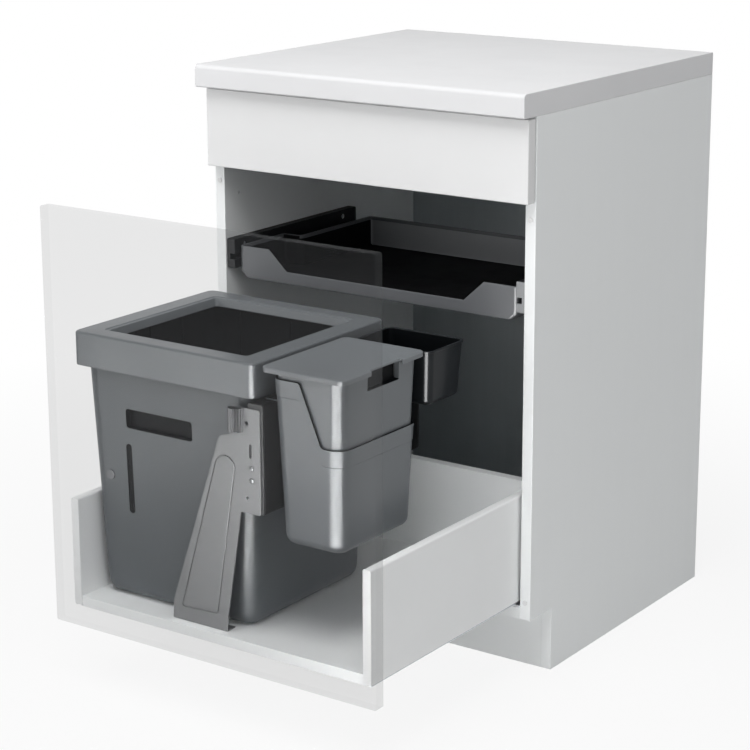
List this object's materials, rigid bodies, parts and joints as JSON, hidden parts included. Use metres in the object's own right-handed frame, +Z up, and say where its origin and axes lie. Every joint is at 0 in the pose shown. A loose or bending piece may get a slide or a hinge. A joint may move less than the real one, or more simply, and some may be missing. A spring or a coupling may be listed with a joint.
{
  "type": "pull out trash cabinet",
  "caption": "Kitchen base cabinet with a drawer on side runners that carries a large waste bin, a hanging organics bin and a utility box, with a sliding tray above.",
  "frame": {"origin": "on the floor, under the middle of the whole part's box with the drawer 385 mm out", "axes": "+Z up, +X to the right of a person who faces the cabinet, the drawer opens towards -Y"},
  "size_m": [0.608, 0.964, 0.914],
  "materials": {
    "white_board": "satin white melamine-faced board",
    "back_board": "smooth dark grey board",
    "worktop_laminate": "smooth pale laminate with a rolled front edge",
    "front_board": "smooth white foil-wrapped board",
    "see_through_front": null,
    "drawer_lacquer": "pale satin powder coat",
    "runner_steel": "zinc plated steel",
    "bracket_paint": "mid grey powder coat",
    "beam_metal": "dark anodised",
    "bin_plastic": "fine grained dark grey moulding",
    "tray_plastic": "fine grained black moulding",
    "runner_plastic": "light grey moulding",
    "trim_plastic": "black moulding",
    "buffer_rubber": "soft matt black",
    "clear_bumper": "clear soft bumper"
  },
  "bodies": {
    "cabinet": {"side_panel_left": "white_board", "side_panel_right": "white_board", "bottom_panel": "white_board", "back_panel": "back_board", "top_rail_rear": "white_board", "top_rail_front": "white_board", "worktop": "worktop_laminate", "worktop_screws": "runner_steel", "plinth_board": "white_board", "plinth_blocks": "white_board", "fixed_front": "front_board", "fixed_front_brackets": "runner_steel", "fixed_front_screws": "runner_steel", "bumpers": "clear_bumper", "cabinet_rail_left": "runner_steel", "cabinet_rail_right": "runner_steel", "rail_screws": "runner_steel", "end_stops": "trim_plastic", "tray_runner_left": "runner_plastic", "tray_runner_right": "runner_plastic", "tray_runner_screws": "runner_steel"},
    "centre_rail_left": {"centre_rail_left": "runner_steel"},
    "centre_rail_right": {"centre_rail_right": "runner_steel"},
    "pullout": {"pullout_front": "see_through_front", "front_screws": "runner_steel", "front_fixing_left": "drawer_lacquer", "front_fixing_right": "drawer_lacquer", "drawer_wall_left": "drawer_lacquer", "drawer_wall_right": "drawer_lacquer", "drawer_floor": "white_board", "drawer_back": "white_board", "drawer_rail_left": "runner_steel", "drawer_rail_right": "runner_steel", "hanging_beam": "beam_metal", "beam_end_cap_front": "trim_plastic", "beam_end_cap_rear": "trim_plastic", "front_leg_bracket": "bracket_paint", "rear_leg_bracket": "bracket_paint", "bracket_screws": "runner_steel", "ribbed_buffer": "buffer_rubber", "organics_holder": "bin_plastic"},
    "large_bin": {"large_bin": "bin_plastic"},
    "bag_frame": {"bag_frame": "bin_plastic"},
    "organics_bin": {"organics_bin": "bin_plastic"},
    "organics_lid": {"organics_lid": "bin_plastic"},
    "utility_box": {"utility_box": "bin_plastic"},
    "tray": {"tray": "tray_plastic", "tray_glide_left": "runner_plastic", "tray_glide_right": "runner_plastic"}
  },
  "joints": [
    {"name": "pullout_slide", "type": "slide", "parent": "cabinet", "child": "pullout", "axis": [0, -1, 0], "range_m": [-0.385, 0.085]},
    {"name": "centre_rail_left_slide", "type": "slide", "parent": "cabinet", "child": "centre_rail_left", "axis": [0, -1, 0], "range_m": [-0.1925, 0.0425]},
    {"name": "centre_rail_right_slide", "type": "slide", "parent": "cabinet", "child": "centre_rail_right", "axis": [0, -1, 0], "range_m": [-0.1925, 0.0425]},
    {"name": "large_bin_lift", "type": "slide", "parent": "pullout", "child": "large_bin", "axis": [0, 0, 1], "range_m": [0, 0.5]},
    {"name": "bag_frame_lift", "type": "slide", "parent": "large_bin", "child": "bag_frame", "axis": [0, 0, 1], "range_m": [0, 0.1]},
    {"name": "organics_bin_lift", "type": "slide", "parent": "pullout", "child": "organics_bin", "axis": [0, 0, 1], "range_m": [0, 0.35]},
    {"name": "organics_lid_lift", "type": "slide", "parent": "organics_bin", "child": "organics_lid", "axis": [0, 0, 1], "range_m": [0, 0.1]},
    {"name": "utility_box_lift", "type": "slide", "parent": "pullout", "child": "utility_box", "axis": [0, 0, 1], "range_m": [0, 0.2]},
    {"name": "tray_slide", "type": "slide", "parent": "cabinet", "child": "tray", "axis": [0, -1, 0], "range_m": [0, 0.2]}
  ],
  "couplings": [
    {"joint": "centre_rail_left_slide", "follows": "pullout_slide", "ratio": 0.5},
    {"joint": "centre_rail_right_slide", "follows": "pullout_slide", "ratio": 0.5}
  ]
}
